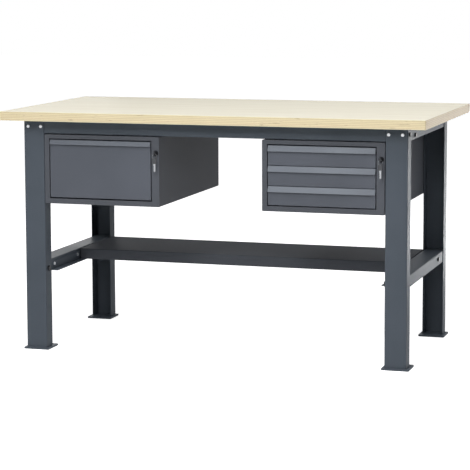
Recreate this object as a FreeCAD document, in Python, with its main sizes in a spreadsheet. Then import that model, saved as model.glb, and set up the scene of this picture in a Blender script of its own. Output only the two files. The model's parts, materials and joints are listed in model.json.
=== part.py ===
import FreeCAD, Part
import math
import os

import Sketcher

# Workbench: a plywood top on four folded legs, two hanging drawer cabinets and a half-depth lower shelf.
# Millimetres. X runs to the right, Y to the back and Z up, from the floor under the middle of the top.

doc = FreeCAD.newDocument("workbench")
sheet = doc.addObject("Spreadsheet::Sheet", "sizes")
nodes = []


class Size:
    """A dimension that keeps its number together with its sheet expression."""

    def __init__(self, number, text):
        self.number = number
        self.text = text

    def joined(self, other, sign, number):
        return Size(number, f"({self.text} {sign} {other.text})")

    def __add__(self, other):
        other = as_size(other)
        return self.joined(other, "+", self.number + other.number)

    def __sub__(self, other):
        other = as_size(other)
        return self.joined(other, "-", self.number - other.number)

    def __mul__(self, other):
        other = as_size(other)
        return self.joined(other, "*", self.number * other.number)

    def __truediv__(self, other):
        other = as_size(other)
        return self.joined(other, "/", self.number / other.number)

    def __neg__(self):
        return as_size(0) - self

    def __radd__(self, other):
        return as_size(other) + self

    def __rsub__(self, other):
        return as_size(other) - self

    def __rmul__(self, other):
        return as_size(other) * self


def as_size(value):
    if isinstance(value, Size):
        return value
    return Size(float(value), repr(float(value)))


def size(name, number):
    """Add one named dimension to the sheet."""
    row = len(sheet.getUsedCells()) // 2 + 1
    sheet.set(f"A{row}", name)
    sheet.set(f"B{row}", str(number))
    sheet.setAlias(f"B{row}", name)
    return Size(float(number), f"sizes.{name}")


# Overall sizes
bench_length = size("bench_length", 1500)
bench_depth = size("bench_depth", 800)
bench_height = size("bench_height", 840)
top_thick = size("top_thick", 31.5)
top_round = size("top_round", 2)

# Frame
legs_span = size("legs_span", 1362)
leg_width = size("leg_width", 75)
leg_depth = size("leg_depth", 52)
frame_sheet = size("frame_sheet", 2.5)
bend_inside = size("bend_inside", 1.5)
front_line = size("front_line", 350)
rear_line = size("rear_line", 332)
foot_width = size("foot_width", 94)
foot_length = size("foot_length", 90)
foot_thick = size("foot_thick", 6)
foot_margin = size("foot_margin", 8)
anchor_setback = size("anchor_setback", 76.5)
anchor_hole = size("anchor_hole", 11)
rail_height = size("rail_height", 46.5)
rail_flange = size("rail_flange", 40)
rail_bolt_drop = size("rail_bolt_drop", 22)
rail_bolt_inner = size("rail_bolt_inner", 617)
rail_bolt_outer = size("rail_bolt_outer", 664)
leg_bolt_setback = size("leg_bolt_setback", 24)
side_bolt_ahead = size("side_bolt_ahead", 225)
side_bolt_drop = size("side_bolt_drop", 31.5)

# Lower side rails, shelf angles and shelf
lower_top = size("lower_top", 313.5)
lower_height = size("lower_height", 40)
lower_bolt_drop = size("lower_bolt_drop", 27.5)
angle_width = size("angle_width", 23)
angle_height = size("angle_height", 30)
angle_bolt_front = size("angle_bolt_front", 275)
angle_bolt_rear = size("angle_bolt_rear", 55)
shelf_bolt_drop = size("shelf_bolt_drop", 18.5)
shelf_bolt_back = size("shelf_bolt_back", 188)
shelf_front = size("shelf_front", 30)
shelf_rear = size("shelf_rear", 297.5)
shelf_sheet = size("shelf_sheet", 1.5)
shelf_round = size("shelf_round", 3)

# Cabinets
cabinet_outer = size("cabinet_outer", 604)
cabinet_width = size("cabinet_width", 421)
cabinet_height = size("cabinet_height", 241)
cabinet_depth = size("cabinet_depth", 668)
cabinet_drop = size("cabinet_drop", 2.5)
panel_sheet = size("panel_sheet", 1.5)
panel_round = size("panel_round", 2.5)
plain_stile = size("plain_stile", 17.3)
lock_stile = size("lock_stile", 27.3)
top_strip = size("top_strip", 14)
bottom_strip = size("bottom_strip", 18.2)
hang_side = size("hang_side", 60)
hang_front = size("hang_front", 25)
hang_rear = size("hang_rear", 650)

# Drawers
front_side_gap = size("front_side_gap", 3.6)
front_top_gap = size("front_top_gap", 3.8)
small_front = size("small_front", 67.4)
lowest_front = size("lowest_front", 65)
front_pitch = size("front_pitch", 68.6)
tall_front = size("tall_front", 201)
front_sheet = size("front_sheet", 1.2)
front_depth = size("front_depth", 14)
small_lip = size("small_lip", 19.8)
tall_lip = size("tall_lip", 16)
lip_reach = size("lip_reach", 7)
lip_overlap = size("lip_overlap", 1.5)
front_round = size("front_round", 1.8)
box_sheet = size("box_sheet", 1.2)
box_depth = size("box_depth", 560)
box_lift = size("box_lift", 6)
box_top_gap = size("box_top_gap", 14)
slide_width = size("slide_width", 12.7)
slide_height = size("slide_height", 35)
slide_length = size("slide_length", 540)
slide_sheet = size("slide_sheet", 1.2)
slide_start = size("slide_start", 15.5)
slide_lift = size("slide_lift", 11)

# Locks and keys
lock_inset = size("lock_inset", 11.5)
lock_rise = size("lock_rise", 186)
lock_head = size("lock_head", 9.5)
lock_head_thick = size("lock_head_thick", 4)
lock_body = size("lock_body", 6.5)
lock_length = size("lock_length", 20)
lock_bore = size("lock_bore", 4.55)
lock_plug = size("lock_plug", 4.5)
lock_nut_across = size("lock_nut_across", 17)
lock_nut_thick = size("lock_nut_thick", 4)
cam_reach = size("cam_reach", 10)
cam_width = size("cam_width", 9)
cam_thick = size("cam_thick", 2)
key_thick = size("key_thick", 2)
key_blade = size("key_blade", 7)
bow_thick = size("bow_thick", 2.6)
bow_half = size("bow_half", 8)
bow_reach = size("bow_reach", 22)
bow_start = size("bow_start", 5.5)
bow_hole = size("bow_hole", 2.8)
bow_hole_reach = size("bow_hole_reach", 15)
ring_radius = size("ring_radius", 8.5)
ring_wire = size("ring_wire", 0.6)
ring_sag = size("ring_sag", 1.2)
spare_sag = size("spare_sag", 0.4)
spare_half = size("spare_half", 7.5)
spare_above = size("spare_above", 4.5)
spare_below = size("spare_below", 17.5)
spare_length = size("spare_length", 45)

# Fasteners: shank radius, width across the flats, head height and nut height of three bolt sizes
bolt_sizes = {}
for bolt, values in {"small": (3, 10, 4, 5), "middle": (4, 13, 5.3, 6.5), "large": (5, 17, 6.4, 8)}.items():
    names = ("shank", "across", "head", "nut")
    bolt_sizes[bolt] = {name: size(f"{bolt}_{name}", value) for name, value in zip(names, values)}
chamfer_circle = size("chamfer_circle", 0.47)
chamfer_slope = size("chamfer_slope", 1.732)
hole_play = size("hole_play", 0.25)
thread_play = size("thread_play", 0.05)
short_bolt = size("short_bolt", 16)
middle_bolt = size("middle_bolt", 20)
large_bolt = size("large_bolt", 22)
shelf_bolt = size("shelf_bolt", 84)
screw_shank = size("screw_shank", 2.5)
screw_head = size("screw_head", 5)
screw_head_thick = size("screw_head_thick", 2.5)
screw_length = size("screw_length", 26)
spacer_radius = size("spacer_radius", 9)
doc.recompute()

# Values that follow from the sizes above
bend_outside = bend_inside + frame_sheet
top_underside = bench_height - top_thick
leg_height = top_underside - foot_thick
leg_centre = legs_span / 2 - leg_width / 2
leg_inner_face = legs_span / 2 - leg_width
rail_base = top_underside - rail_height
cabinet_top = rail_base - cabinet_drop
cabinet_base = cabinet_top - cabinet_height
opening_top = cabinet_top - top_strip
opening_width = cabinet_width - plain_stile - lock_stile
front_width = opening_width - 2 * front_side_gap
front_top = opening_top - front_top_gap
liner_left = plain_stile
liner_right = cabinet_width - lock_stile
box_left = liner_left + slide_width
box_width = liner_right - slide_width - box_left
left_cabinet = -cabinet_outer
right_cabinet = cabinet_outer - cabinet_width
lock_across = cabinet_width - lock_inset
lock_height = cabinet_base + lock_rise


def bind(thing, name, value):
    """Drive one property of a document object from the sheet."""
    thing.setExpression(name, as_size(value).text)


def place(thing, x, y, z, turn=None):
    """Put an object at a point of the bench, turned by a rotation."""
    spot = [as_size(value) for value in (x, y, z)]
    turn = turn or FreeCAD.Rotation()
    thing.Placement = FreeCAD.Placement(FreeCAD.Vector(*[value.number for value in spot]), turn)
    for axis, value in zip("xyz", spot):
        bind(thing, f"Placement.Base.{axis}", value)


def about_z(degrees):
    return FreeCAD.Rotation(FreeCAD.Vector(0, 0, 1), degrees)


def towards(x, y, z):
    """The rotation that points an object's own Z axis along a direction."""
    return FreeCAD.Rotation(FreeCAD.Vector(0, 0, 1), FreeCAD.Vector(x, y, z))


def node(thing, label):
    """Name a finished piece and keep it for the export."""
    thing.Label = label
    nodes.append(thing)
    return thing


def new_body(label):
    return doc.addObject("PartDesign::Body", label)


def new_sketch(body, plane, offset=0):
    """A sketch on one of the body's own planes, moved along that plane's normal."""
    sketch = body.newObject("Sketcher::SketchObject", f"{body.Name}_sketch")
    support = [item for item in body.Origin.OriginFeatures if item.Role == plane][0]
    sketch.AttachmentSupport = [(support, "")]
    sketch.MapMode = "FlatFace"
    bind(sketch, "AttachmentOffset.Base.z", offset)
    return sketch


def hold(sketch, kind, items, value):
    """Add a length to a sketch and drive it from the sheet."""
    value = as_size(value)
    number = sketch.addConstraint(Sketcher.Constraint(kind, *items, value.number))
    sketch.renameConstraint(number, f"length{number}")
    bind(sketch, f"Constraints.length{number}", value)


def outline(sketch, corners):
    """A closed outline of straight lines, each corner held from the sketch's origin."""
    first = sketch.GeometryCount
    count = len(corners)
    points = [FreeCAD.Vector(as_size(x).number, as_size(y).number, 0) for x, y in corners]
    for index in range(count):
        sketch.addGeometry(Part.LineSegment(points[index], points[(index + 1) % count]))
    for index in range(count):
        follower = first + (index + 1) % count
        sketch.addConstraint(Sketcher.Constraint("Coincident", first + index, 2, follower, 1))
    for index, (x, y) in enumerate(corners):
        hold(sketch, "DistanceX", (-1, 1, first + index, 1), x)
        hold(sketch, "DistanceY", (-1, 1, first + index, 1), y)


def rectangle(sketch, left, low, right, high):
    outline(sketch, [(left, low), (right, low), (right, high), (left, high)])


def circles(sketch, centres, radius):
    """Equal circles, each held by its centre and its radius."""
    for x, y in centres:
        spot = FreeCAD.Vector(as_size(x).number, as_size(y).number, 0)
        circle = Part.Circle(spot, FreeCAD.Vector(0, 0, 1), as_size(radius).number)
        number = sketch.addGeometry(circle)
        hold(sketch, "DistanceX", (-1, 1, number, 3), x)
        hold(sketch, "DistanceY", (-1, 1, number, 3), y)
        hold(sketch, "Radius", (number,), radius)


def pad(body, sketch, length):
    feature = body.newObject("PartDesign::Pad", f"{body.Name}_pad")
    feature.Profile = sketch
    bind(feature, "Length", length)
    sketch.Visibility = False
    return feature


def pocket(body, sketch, depth, along_normal=False):
    """Cut a sketch into the body, against its plane's normal unless told otherwise."""
    doc.recompute()
    before = body.Shape.Volume
    feature = body.newObject("PartDesign::Pocket", f"{body.Name}_pocket")
    feature.Profile = sketch
    feature.Reversed = along_normal
    bind(feature, "Length", depth)
    sketch.Visibility = False
    doc.recompute()
    if body.Shape.Volume >= before:
        raise RuntimeError(f"{body.Name}: a pocket removed nothing")
    return feature


def edges_along(shape, axis, corners):
    """Names of the straight edges along an axis that pass through the given corners."""
    others = [index for index in range(3) if index != axis]
    wanted = [tuple(as_size(value).number for value in corner) for corner in corners]
    names = []
    for number, edge in enumerate(shape.Edges, 1):
        start, end = edge.Vertexes[0].Point, edge.Vertexes[-1].Point
        if math.dist(start, end) < 1 or max(abs(start[index] - end[index]) for index in others) > 1e-5:
            continue
        spot = [start[index] for index in others]
        if any(math.dist(spot, corner) < 1e-4 for corner in wanted):
            names.append(f"Edge{number}")
    return names


def round_edges(body, axis, corners, radius):
    """Round the edges along one axis at the given corners of the other two."""
    doc.recompute()
    base = body.Tip
    feature = body.newObject("PartDesign::Fillet", f"{body.Name}_round")
    feature.Base = (base, edges_along(base.Shape, axis, corners))
    bind(feature, "Radius", radius)
    return feature


def round_face_edges(body, axis, height, radius):
    """Round every edge that lies in one level plane of the body."""
    doc.recompute()
    base = body.Tip
    level = as_size(height).number
    names = []
    for number, edge in enumerate(base.Shape.Edges, 1):
        if all(abs(vertex.Point[axis] - level) < 1e-5 for vertex in edge.Vertexes):
            names.append(f"Edge{number}")
    feature = body.newObject("PartDesign::Fillet", f"{body.Name}_round")
    feature.Base = (base, names)
    bind(feature, "Radius", radius)
    return feature


def new_box(label, x, y, z, length, width, height):
    box = doc.addObject("Part::Box", label)
    bind(box, "Length", length)
    bind(box, "Width", width)
    bind(box, "Height", height)
    place(box, x, y, z)
    return box


def new_rod(label, radius, height, x=0, y=0, z=0, turn=None):
    rod = doc.addObject("Part::Cylinder", label)
    bind(rod, "Radius", radius)
    bind(rod, "Height", height)
    place(rod, x, y, z, turn)
    return rod


def new_hexagon(label, across, height, z=0):
    prism = doc.addObject("Part::Prism", label)
    prism.Polygon = 6
    bind(prism, "Circumradius", across / math.sqrt(3))
    bind(prism, "Height", height)
    place(prism, 0, 0, z)
    return prism


def new_cone(label, low_radius, high_radius, height, z=0):
    cone = doc.addObject("Part::Cone", label)
    bind(cone, "Radius1", low_radius)
    bind(cone, "Radius2", high_radius)
    bind(cone, "Height", height)
    place(cone, 0, 0, z)
    return cone


def cut(label, base, tool):
    result = doc.addObject("Part::Cut", label)
    result.Base = base
    result.Tool = tool
    return result


def fuse(label, first, second):
    result = doc.addObject("Part::Fuse", label)
    result.Base = first
    result.Tool = second
    return result


def common(label, first, second):
    result = doc.addObject("Part::Common", label)
    result.Base = first
    result.Tool = second
    return result


def group(label, members):
    """Several separate solids that share one node."""
    compound = doc.addObject("Part::Compound", label)
    compound.Links = members
    return node(compound, label)


def copies(master, spots):
    """The same piece at several places, each a point and a rotation."""
    links = []
    for x, y, z, turn in spots:
        link = doc.addObject("App::Link", f"{master.Name}_copy")
        link.LinkedObject = master
        place(link, x, y, z, turn)
        links.append(link)
    return links


# Worktop with its pilot holes

screw_spots = [(x, -(front_line - hang_front)) for x in (-450, -150, 150, 450)]
screw_spots += [(x, rear_line - hang_front) for x in (-450, -150, 150, 450)]
screw_spots += [(x * (legs_span / 2 - hang_front), y) for x in (-1, 1) for y in (-150, 150)]


def make_worktop():
    body = new_body("worktop")
    sketch = new_sketch(body, "XY_Plane")
    rectangle(sketch, -bench_length / 2, -bench_depth / 2, bench_length / 2, bench_depth / 2)
    pad(body, sketch, top_thick)
    corners = [(x * bench_length / 2, y * bench_depth / 2) for x in (-1, 1) for y in (-1, 1)]
    round_edges(body, 2, corners, top_round)
    round_face_edges(body, 2, top_thick, top_round / 2)
    pilots = new_sketch(body, "XY_Plane")
    circles(pilots, screw_spots, screw_shank + thread_play)
    pocket(body, pilots, screw_length, along_normal=True)
    place(body, 0, 0, top_underside)
    node(body, "worktop")


make_worktop()


# Legs: folded channels that open towards the middle of the bench

def channel(width, depth, sheet_thick):
    """Outline of a folded channel, its web on the first axis and its flanges along the second."""
    half = width / 2
    inside = half - sheet_thick
    return [(-half, 0), (half, 0), (half, depth), (inside, depth), (inside, sheet_thick),
            (-inside, sheet_thick), (-inside, depth), (-half, depth)]


def make_leg(label, x, y, turn, inner):
    """One leg; inner is 1 or -1, the side of its own X axis that faces the bench's middle."""
    body = new_body(label)
    profile = channel(leg_width, leg_depth, frame_sheet)
    sketch = new_sketch(body, "XY_Plane")
    outline(sketch, profile)
    pad(body, sketch, leg_height)
    round_edges(body, 2, profile[0:2], bend_outside)
    round_edges(body, 2, profile[4:6], bend_inside)

    notch = new_sketch(body, "YZ_Plane")
    rectangle(notch, frame_sheet, leg_height - rail_height - 1, 2 * frame_sheet + 1, leg_height + 1)
    pocket(body, notch, leg_width, along_normal=inner > 0)

    web_holes = new_sketch(body, "XZ_Plane")
    bolt_line = leg_height - rail_bolt_drop
    spots = [(inner * (leg_centre - spot), bolt_line) for spot in (rail_bolt_inner, rail_bolt_outer)]
    circles(web_holes, spots, bolt_sizes["small"]["shank"] + hole_play)
    pocket(body, web_holes, 2 * frame_sheet)

    outer_hole = new_sketch(body, "YZ_Plane")
    circles(outer_hole, [(leg_bolt_setback, bolt_line)], bolt_sizes["middle"]["shank"] + hole_play)
    pocket(body, outer_hole, leg_width, along_normal=inner < 0)

    inner_hole = new_sketch(body, "YZ_Plane")
    lower_line = lower_top - lower_bolt_drop - foot_thick
    circles(inner_hole, [(leg_bolt_setback, lower_line)], bolt_sizes["large"]["shank"] + hole_play)
    pocket(body, inner_hole, leg_width, along_normal=inner > 0)
    place(body, x, y, foot_thick, about_z(turn))
    node(body, label)


def make_foot(label, x, y, turn):
    """One foot plate; its longer overhang with the anchor hole lies towards the middle of the bench."""
    body = new_body(label)
    sketch = new_sketch(body, "XY_Plane")
    rectangle(sketch, -foot_width / 2, 0, foot_width / 2, foot_length)
    circles(sketch, [(0, anchor_setback)], anchor_hole / 2)
    pad(body, sketch, foot_thick)
    corners = [(side * foot_width / 2, end) for side in (-1, 1) for end in (as_size(0), foot_length)]
    round_edges(body, 2, corners, bend_outside)
    place(body, x, y, 0, about_z(turn))
    node(body, label)


for side_name, side in (("left", -1), ("right", 1)):
    make_leg(f"front_{side_name}_leg", side * leg_centre, -front_line, 0, -side)
    make_leg(f"rear_{side_name}_leg", side * leg_centre, rear_line, 180, side)
    make_foot(f"front_{side_name}_foot", side * leg_centre, -front_line - foot_margin, 0)
    make_foot(f"rear_{side_name}_foot", side * leg_centre, rear_line + foot_margin, 180)


# Long rails under the front and rear edges; their webs run on behind the leg webs

hang_spots = [cabinet + across for cabinet in (left_cabinet, right_cabinet)
              for across in (hang_side, cabinet_width - hang_side)]


def rail_profile(width, height, sheet_thick):
    """Outline of a channel whose web stands on the first axis at nought."""
    return [(0, 0), (width, 0), (width, sheet_thick), (sheet_thick, sheet_thick),
            (sheet_thick, height - sheet_thick), (width, height - sheet_thick), (width, height), (0, height)]


def make_long_rail(label, y, turn, facing, hang_reach):
    """One long rail; facing is 1 or -1 for its X axis, hang_reach is from its web to the cabinet bolts."""
    body = new_body(label)
    half = leg_inner_face - 0.5
    tab_half = legs_span / 2 - frame_sheet - 1.5
    profile = rail_profile(rail_flange, rail_height, frame_sheet)
    sketch = new_sketch(body, "YZ_Plane", -half)
    outline(sketch, profile)
    pad(body, sketch, 2 * half)
    round_edges(body, 0, [profile[0], profile[7]], bend_outside)
    round_edges(body, 0, [profile[3], profile[4]], bend_inside)

    tabs = new_sketch(body, "YZ_Plane", -tab_half)
    rectangle(tabs, 0, bend_outside, frame_sheet, rail_height - bend_outside)
    pad(body, tabs, 2 * tab_half)

    web_holes = new_sketch(body, "XZ_Plane")
    spots = [(side * spot, rail_height - rail_bolt_drop)
             for side in (-1, 1) for spot in (rail_bolt_inner, rail_bolt_outer)]
    circles(web_holes, spots, bolt_sizes["small"]["shank"] + hole_play)
    pocket(body, web_holes, 2 * frame_sheet)

    screw_holes = new_sketch(body, "XY_Plane", rail_height)
    spots = [(x, hang_front - frame_sheet) for x in (-450, -150, 150, 450)]
    circles(screw_holes, spots, screw_shank + hole_play)
    pocket(body, screw_holes, 2 * frame_sheet)

    hang_holes = new_sketch(body, "XY_Plane")
    spots = [(facing * x, hang_reach) for x in hang_spots]
    circles(hang_holes, spots, bolt_sizes["small"]["shank"] + hole_play)
    pocket(body, hang_holes, 2 * frame_sheet, along_normal=True)
    place(body, 0, y, rail_base, about_z(turn))
    node(body, label)


rear_hang_reach = rear_line - frame_sheet + front_line - hang_rear
make_long_rail("front_rail", frame_sheet - front_line, 0, 1, hang_front - frame_sheet)
make_long_rail("rear_rail", rear_line - frame_sheet, 180, -1, rear_hang_reach)


# Side rails under the ends of the top, and the lower side rails that run inside the leg channels

side_rail_front = 2 * frame_sheet + 0.5 - front_line
side_rail_rear = rear_line - 2 * frame_sheet - 0.5
leg_bolts_y = (leg_bolt_setback - front_line, rear_line - leg_bolt_setback)


def make_top_rail(label, side):
    body = new_body(label)
    profile = [(-side * x, z) for x, z in rail_profile(rail_flange, rail_height, frame_sheet)]
    sketch = new_sketch(body, "XZ_Plane", -side_rail_rear)
    outline(sketch, profile)
    pad(body, sketch, side_rail_rear - side_rail_front)
    round_edges(body, 1, [profile[0], profile[7]], bend_outside)
    round_edges(body, 1, [profile[3], profile[4]], bend_inside)

    bolt_holes = new_sketch(body, "YZ_Plane")
    spots = [(y, rail_height - rail_bolt_drop) for y in leg_bolts_y]
    spots.append((-side_bolt_ahead, rail_height - side_bolt_drop))
    circles(bolt_holes, spots, bolt_sizes["middle"]["shank"] + hole_play)
    pocket(body, bolt_holes, 2 * frame_sheet, along_normal=side < 0)

    screw_holes = new_sketch(body, "XY_Plane", rail_height)
    spots = [(side * (frame_sheet - hang_front), y) for y in (-150, 150)]
    circles(screw_holes, spots, screw_shank + hole_play)
    pocket(body, screw_holes, 2 * frame_sheet)
    place(body, side * (legs_span / 2 - frame_sheet), 0, rail_base)
    node(body, label)


lower_width = leg_width - 2 * frame_sheet
lower_base = lower_top - lower_height


def make_lower_rail(label, side):
    """A channel on its edge, flat side up, between the flanges of the two legs on its side."""
    body = new_body(label)
    profile = [(x, lower_height - depth) for x, depth in channel(lower_width, lower_height, frame_sheet)]
    end_gap = bend_outside + 0.1
    sketch = new_sketch(body, "XZ_Plane", end_gap - rear_line)
    outline(sketch, profile)
    pad(body, sketch, rear_line + front_line - 2 * end_gap)
    round_edges(body, 1, profile[0:2], bend_outside)
    round_edges(body, 1, profile[4:6], bend_inside)

    shelf_line = lower_height - shelf_bolt_drop
    leg_holes = new_sketch(body, "YZ_Plane")
    circles(leg_holes, [(y, lower_height - lower_bolt_drop) for y in leg_bolts_y],
            bolt_sizes["large"]["shank"] + hole_play)
    pocket(body, leg_holes, lower_width, along_normal=side < 0)
    angle_holes = new_sketch(body, "YZ_Plane")
    circles(angle_holes, [(-angle_bolt_front, shelf_line), (-angle_bolt_rear, shelf_line)],
            bolt_sizes["small"]["shank"] + hole_play)
    pocket(body, angle_holes, lower_width, along_normal=side < 0)
    for along_normal in (False, True):
        through = new_sketch(body, "YZ_Plane")
        circles(through, [(shelf_bolt_back, shelf_line)], bolt_sizes["middle"]["shank"] + hole_play)
        pocket(body, through, lower_width, along_normal=along_normal)
    place(body, side * leg_centre, 0, lower_base)
    node(body, label)


def make_shelf_angle(label, side):
    """The angle on the rail's inner wall that carries one end of the shelf."""
    body = new_body(label)
    profile = [(0, 0), (-side * angle_width - side * frame_sheet, 0),
               (-side * angle_width - side * frame_sheet, frame_sheet), (-side * frame_sheet, frame_sheet),
               (-side * frame_sheet, angle_height), (0, angle_height)]
    sketch = new_sketch(body, "XZ_Plane", leg_depth + 2 - rear_line)
    outline(sketch, profile)
    pad(body, sketch, rear_line + front_line - 2 * leg_depth - 4)
    round_edges(body, 1, [profile[0]], bend_outside)
    round_edges(body, 1, [profile[3]], bend_inside)
    shelf_line = lower_height - shelf_bolt_drop
    small_holes = new_sketch(body, "YZ_Plane")
    circles(small_holes, [(-angle_bolt_front, shelf_line), (-angle_bolt_rear, shelf_line)],
            bolt_sizes["small"]["shank"] + hole_play)
    pocket(body, small_holes, 2 * frame_sheet, along_normal=side < 0)
    shelf_hole = new_sketch(body, "YZ_Plane")
    circles(shelf_hole, [(shelf_bolt_back, shelf_line)], bolt_sizes["middle"]["shank"] + hole_play)
    pocket(body, shelf_hole, 2 * frame_sheet, along_normal=side < 0)
    place(body, side * (leg_inner_face + frame_sheet), 0, lower_base)
    node(body, label)


for side_name, side in (("left", -1), ("right", 1)):
    make_top_rail(f"{side_name}_top_rail", side)
    make_lower_rail(f"{side_name}_lower_rail", side)
    make_shelf_angle(f"{side_name}_shelf_angle", side)


# Lower shelf: a tray turned upside down that stands on the two angles

shelf_half = leg_inner_face - bend_inside - 0.1
shelf_height = lower_height - frame_sheet


def make_shelf():
    body = new_body("lower_shelf")
    sketch = new_sketch(body, "XY_Plane")
    rectangle(sketch, -shelf_half, -shelf_front, shelf_half, shelf_rear)
    pad(body, sketch, shelf_height)
    corners = [(side * shelf_half, end) for side in (-1, 1) for end in (-shelf_front, shelf_rear)]
    round_edges(body, 2, corners, shelf_round)
    round_face_edges(body, 2, shelf_height, shelf_round)
    hollow = new_sketch(body, "XY_Plane")
    rectangle(hollow, shelf_sheet - shelf_half, shelf_sheet - shelf_front, shelf_half - shelf_sheet,
              shelf_rear - shelf_sheet)
    pocket(body, hollow, shelf_height - shelf_sheet, along_normal=True)
    for along_normal in (False, True):
        bolt_hole = new_sketch(body, "YZ_Plane")
        circles(bolt_hole, [(shelf_bolt_back, shelf_height - shelf_bolt_drop)],
                bolt_sizes["middle"]["shank"] + hole_play)
        pocket(body, bolt_hole, legs_span, along_normal=along_normal)
    place(body, 0, 0, lower_base + frame_sheet)
    node(body, "lower_shelf")


make_shelf()


# Cabinets: a folded wrap, a front frame, a back and two inner panels that carry the drawer slides

def make_cabinet(side_name, x):
    wrap = new_body(f"{side_name}_cabinet_wrap")
    sketch = new_sketch(wrap, "XZ_Plane", panel_sheet - cabinet_depth)
    rectangle(sketch, 0, 0, cabinet_width, cabinet_height)
    rectangle(sketch, panel_sheet, panel_sheet, cabinet_width - panel_sheet, cabinet_height - panel_sheet)
    pad(wrap, sketch, cabinet_depth - 2 * panel_sheet)
    nought = as_size(0)
    outer_corners = [(across, high) for across in (nought, cabinet_width)
                     for high in (nought, cabinet_height)]
    inner_corners = [(across, high) for across in (panel_sheet, cabinet_width - panel_sheet)
                     for high in (panel_sheet, cabinet_height - panel_sheet)]
    round_edges(wrap, 1, outer_corners, panel_round)
    round_edges(wrap, 1, inner_corners, panel_round - panel_sheet)
    hang_holes = new_sketch(wrap, "XY_Plane", cabinet_height)
    spots = [(across, deep) for across in (hang_side, cabinet_width - hang_side)
             for deep in (hang_front, hang_rear)]
    circles(hang_holes, spots, bolt_sizes["small"]["shank"] + hole_play)
    pocket(wrap, hang_holes, 2 * panel_sheet)
    place(wrap, x, -front_line, cabinet_base)
    node(wrap, f"{side_name}_cabinet_wrap")

    frame = new_body(f"{side_name}_cabinet_front")
    sketch = new_sketch(frame, "XZ_Plane", -panel_sheet)
    rectangle(sketch, 0, 0, cabinet_width, cabinet_height)
    rectangle(sketch, plain_stile, bottom_strip, cabinet_width - lock_stile, cabinet_height - top_strip)
    circles(sketch, [(lock_across, lock_rise)], lock_body + hole_play / 2)
    pad(frame, sketch, panel_sheet)
    round_edges(frame, 1, outer_corners, panel_round)
    place(frame, x, -front_line, cabinet_base)
    node(frame, f"{side_name}_cabinet_front")

    back = new_body(f"{side_name}_cabinet_back")
    sketch = new_sketch(back, "XZ_Plane", -cabinet_depth)
    rectangle(sketch, 0, 0, cabinet_width, cabinet_height)
    pad(back, sketch, panel_sheet)
    round_edges(back, 1, outer_corners, panel_round)
    place(back, x, -front_line, cabinet_base)
    node(back, f"{side_name}_cabinet_back")

    liners = []
    for liner_side, start in (("plain", liner_left - panel_sheet), ("lock", liner_right)):
        liners.append(new_box(f"{side_name}_{liner_side}_liner", x + start, panel_sheet - front_line,
                              cabinet_base + panel_sheet, panel_sheet, cabinet_depth - 2 * panel_sheet,
                              cabinet_height - 2 * panel_sheet))
    group(f"{side_name}_cabinet_liners", liners)


# Drawer slides: three nested channels on each side of a drawer, the middle one moving half as far

def make_slide_member(label, web_start, flange_end, height):
    """A long channel; its web starts one way across the slide and its flanges end the other."""
    body = new_body(label)
    thick = slide_sheet if flange_end.number > web_start.number else -slide_sheet
    low = (slide_height - height) / 2
    high = (slide_height + height) / 2
    corners = [(web_start, low), (flange_end, low), (flange_end, low + slide_sheet),
               (web_start + thick, low + slide_sheet), (web_start + thick, high - slide_sheet),
               (flange_end, high - slide_sheet), (flange_end, high), (web_start, high)]
    sketch = new_sketch(body, "XZ_Plane", -slide_length)
    outline(sketch, corners)
    pad(body, sketch, slide_length)
    return body


outer_member = make_slide_member("slide_outer_member", as_size(0), slide_width * 0.75, slide_height)
middle_member = make_slide_member("slide_middle_member", 2 * slide_sheet, slide_width * 0.82,
                                  slide_height - 6 * slide_sheet)
inner_member = make_slide_member("slide_inner_member", slide_width, slide_width * 0.4,
                                 slide_height - 12 * slide_sheet)


def slide_pair(master, x, base):
    """A slide member on the left liner of a cabinet and one, turned about, on the right liner."""
    level = base + slide_lift
    start = slide_start - front_line
    return copies(master, [(x + liner_left, start, level, None),
                           (x + liner_right, start + slide_length, level, about_z(180))])


def make_drawer(drawer, x, base, height, lip):
    """A drawer: its folded front with a finger pocket behind the lip, its box and its slide members."""
    front = new_body(f"{drawer}_drawer_front")
    face_top = height - lip + lip_overlap
    inside = front_depth - front_sheet
    profile = [(front_depth, 0), (0, 0), (0, face_top), (inside, face_top), (inside, height - front_sheet),
               (front_sheet - lip_reach * front_sheet / lip, height - front_sheet),
               (front_sheet - lip_reach, height - lip), (-lip_reach, height - lip), (0, height),
               (front_depth, height), (front_depth, face_top - front_sheet),
               (front_sheet, face_top - front_sheet), (front_sheet, front_sheet), (front_depth, front_sheet)]
    sketch = new_sketch(front, "YZ_Plane")
    outline(sketch, profile)
    pad(front, sketch, front_width)
    round_edges(front, 0, [profile[1], profile[2], profile[8], profile[9]], front_round)
    for start in (as_size(0), front_width - front_sheet):
        end_plate = new_sketch(front, "YZ_Plane", start)
        rectangle(end_plate, front_sheet, front_sheet, front_depth, face_top - front_sheet)
        pad(front, end_plate, front_sheet)
    place(front, x + plain_stile + front_side_gap, -front_line, base)
    node(front, f"{drawer}_drawer_front")

    box = new_body(f"{drawer}_drawer_box")
    box_height = height - box_lift - box_top_gap
    sketch = new_sketch(box, "XY_Plane")
    rectangle(sketch, 0, 0, box_width, box_depth)
    pad(box, sketch, box_height)
    hollow = new_sketch(box, "XY_Plane", box_height)
    rectangle(hollow, box_sheet, box_sheet, box_width - box_sheet, box_depth - box_sheet)
    pocket(box, hollow, box_height - box_sheet)
    place(box, x + box_left, front_depth - front_line, base + box_lift)
    node(box, f"{drawer}_drawer_box")

    group(f"{drawer}_drawer_slides", slide_pair(inner_member, x, base))
    group(f"{drawer}_middle_slides", slide_pair(middle_member, x, base))
    return slide_pair(outer_member, x, base)


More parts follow.
